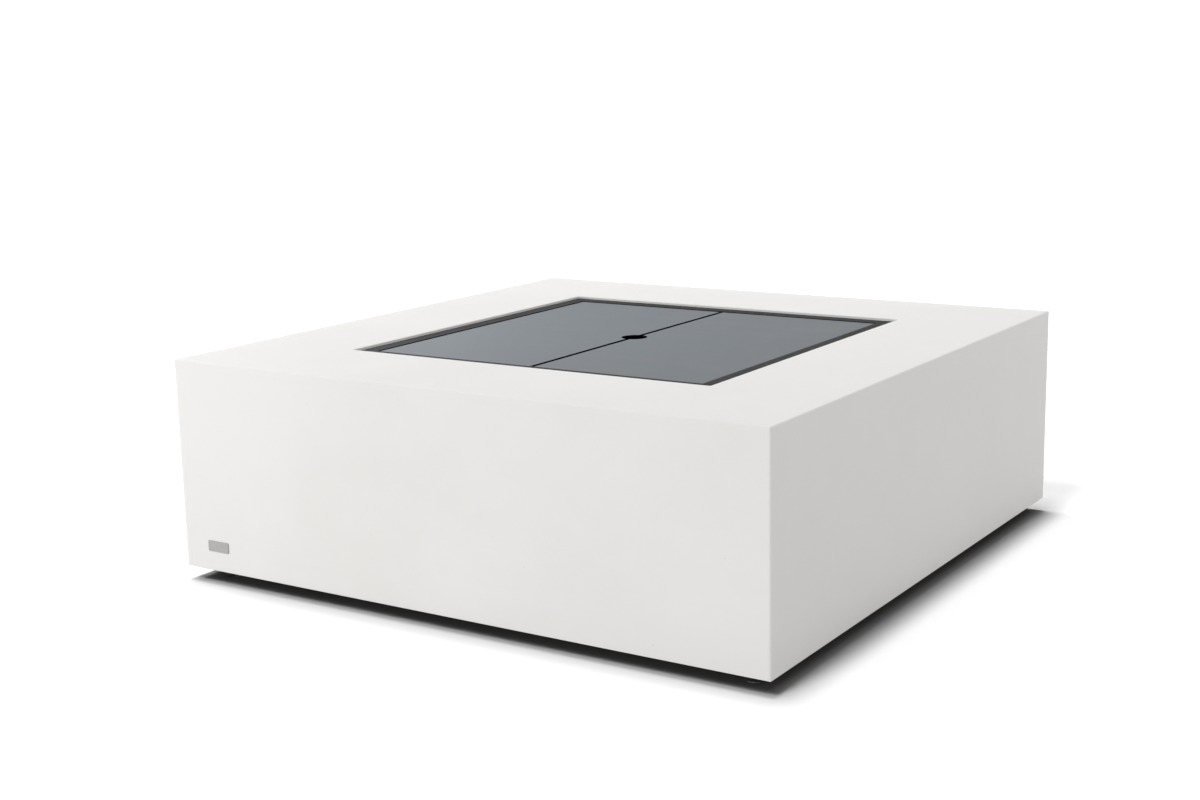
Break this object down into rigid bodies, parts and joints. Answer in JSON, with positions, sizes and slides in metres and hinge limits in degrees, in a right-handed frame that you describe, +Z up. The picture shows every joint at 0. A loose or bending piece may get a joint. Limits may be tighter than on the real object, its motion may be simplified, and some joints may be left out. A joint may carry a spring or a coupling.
{
  "type": "fire pit table",
  "caption": "Low square outdoor fire pit table: cast composite body, sunken steel tray with a round liquid-fuel burner, lift-off cover plates, snuffer and levelling feet.",
  "frame": {"origin": "on the floor, under the middle of the square body", "axes": "+Z up; -Y towards the side with the badge; +X to the right as seen from that side"},
  "size_m": [1, 1.0012, 0.342],
  "materials": {
    "cast_composite": "matte",
    "badge_metal": "satin",
    "seal_rubber": "matte",
    "tray_coating": "satin",
    "cover_coating": "satin",
    "gasket_fibre": "matte",
    "burner_steel": "satin",
    "shield_steel": "satin",
    "fastener_steel": "satin",
    "insert_brass": "satin",
    "foot_plastic": "matte"
  },
  "bodies": {
    "table": {"body_shell": "cast_composite", "name_badge": "badge_metal", "tray_seal": "seal_rubber", "burner_tray": "tray_coating", "cover_bumpers": "seal_rubber", "burner_gasket": "gasket_fibre", "burner_tank": "burner_steel", "burner_deck": "burner_steel", "burner_baffle": "burner_steel", "burner_screws": "fastener_steel", "burner_nuts": "fastener_steel", "heat_shield": "shield_steel", "shield_spacers": "shield_steel", "shield_screws": "fastener_steel", "shield_nuts": "fastener_steel", "foot_inserts": "insert_brass"},
    "cover_left": {"cover_left": "cover_coating"},
    "cover_right": {"cover_right": "cover_coating"},
    "snuffer": {"snuffer_lid": "tray_coating", "snuffer_handle": "burner_steel", "snuffer_rivets": "fastener_steel"},
    "foot_front_left": {"foot_stud_front_left": "fastener_steel", "foot_pad_front_left": "foot_plastic"},
    "foot_front_right": {"foot_stud_front_right": "fastener_steel", "foot_pad_front_right": "foot_plastic"},
    "foot_back_left": {"foot_stud_back_left": "fastener_steel", "foot_pad_back_left": "foot_plastic"},
    "foot_back_right": {"foot_stud_back_right": "fastener_steel", "foot_pad_back_right": "foot_plastic"}
  },
  "joints": [
    {"name": "cover_left_lift", "type": "slide", "parent": "table", "child": "cover_left", "axis": [0, 0, 1], "range_m": [0, 0.2]},
    {"name": "cover_right_lift", "type": "slide", "parent": "table", "child": "cover_right", "axis": [0, 0, 1], "range_m": [0, 0.2]},
    {"name": "snuffer_lift", "type": "slide", "parent": "table", "child": "snuffer", "axis": [0, 0, 1], "range_m": [0, 0.014]},
    {"name": "foot_front_left_screw", "type": "slide", "parent": "table", "child": "foot_front_left", "axis": [0, 0, -1], "range_m": [0, 0.012]},
    {"name": "foot_front_right_screw", "type": "slide", "parent": "table", "child": "foot_front_right", "axis": [0, 0, -1], "range_m": [0, 0.012]},
    {"name": "foot_back_left_screw", "type": "slide", "parent": "table", "child": "foot_back_left", "axis": [0, 0, -1], "range_m": [0, 0.012]},
    {"name": "foot_back_right_screw", "type": "slide", "parent": "table", "child": "foot_back_right", "axis": [0, 0, -1], "range_m": [0, 0.012]}
  ]
}
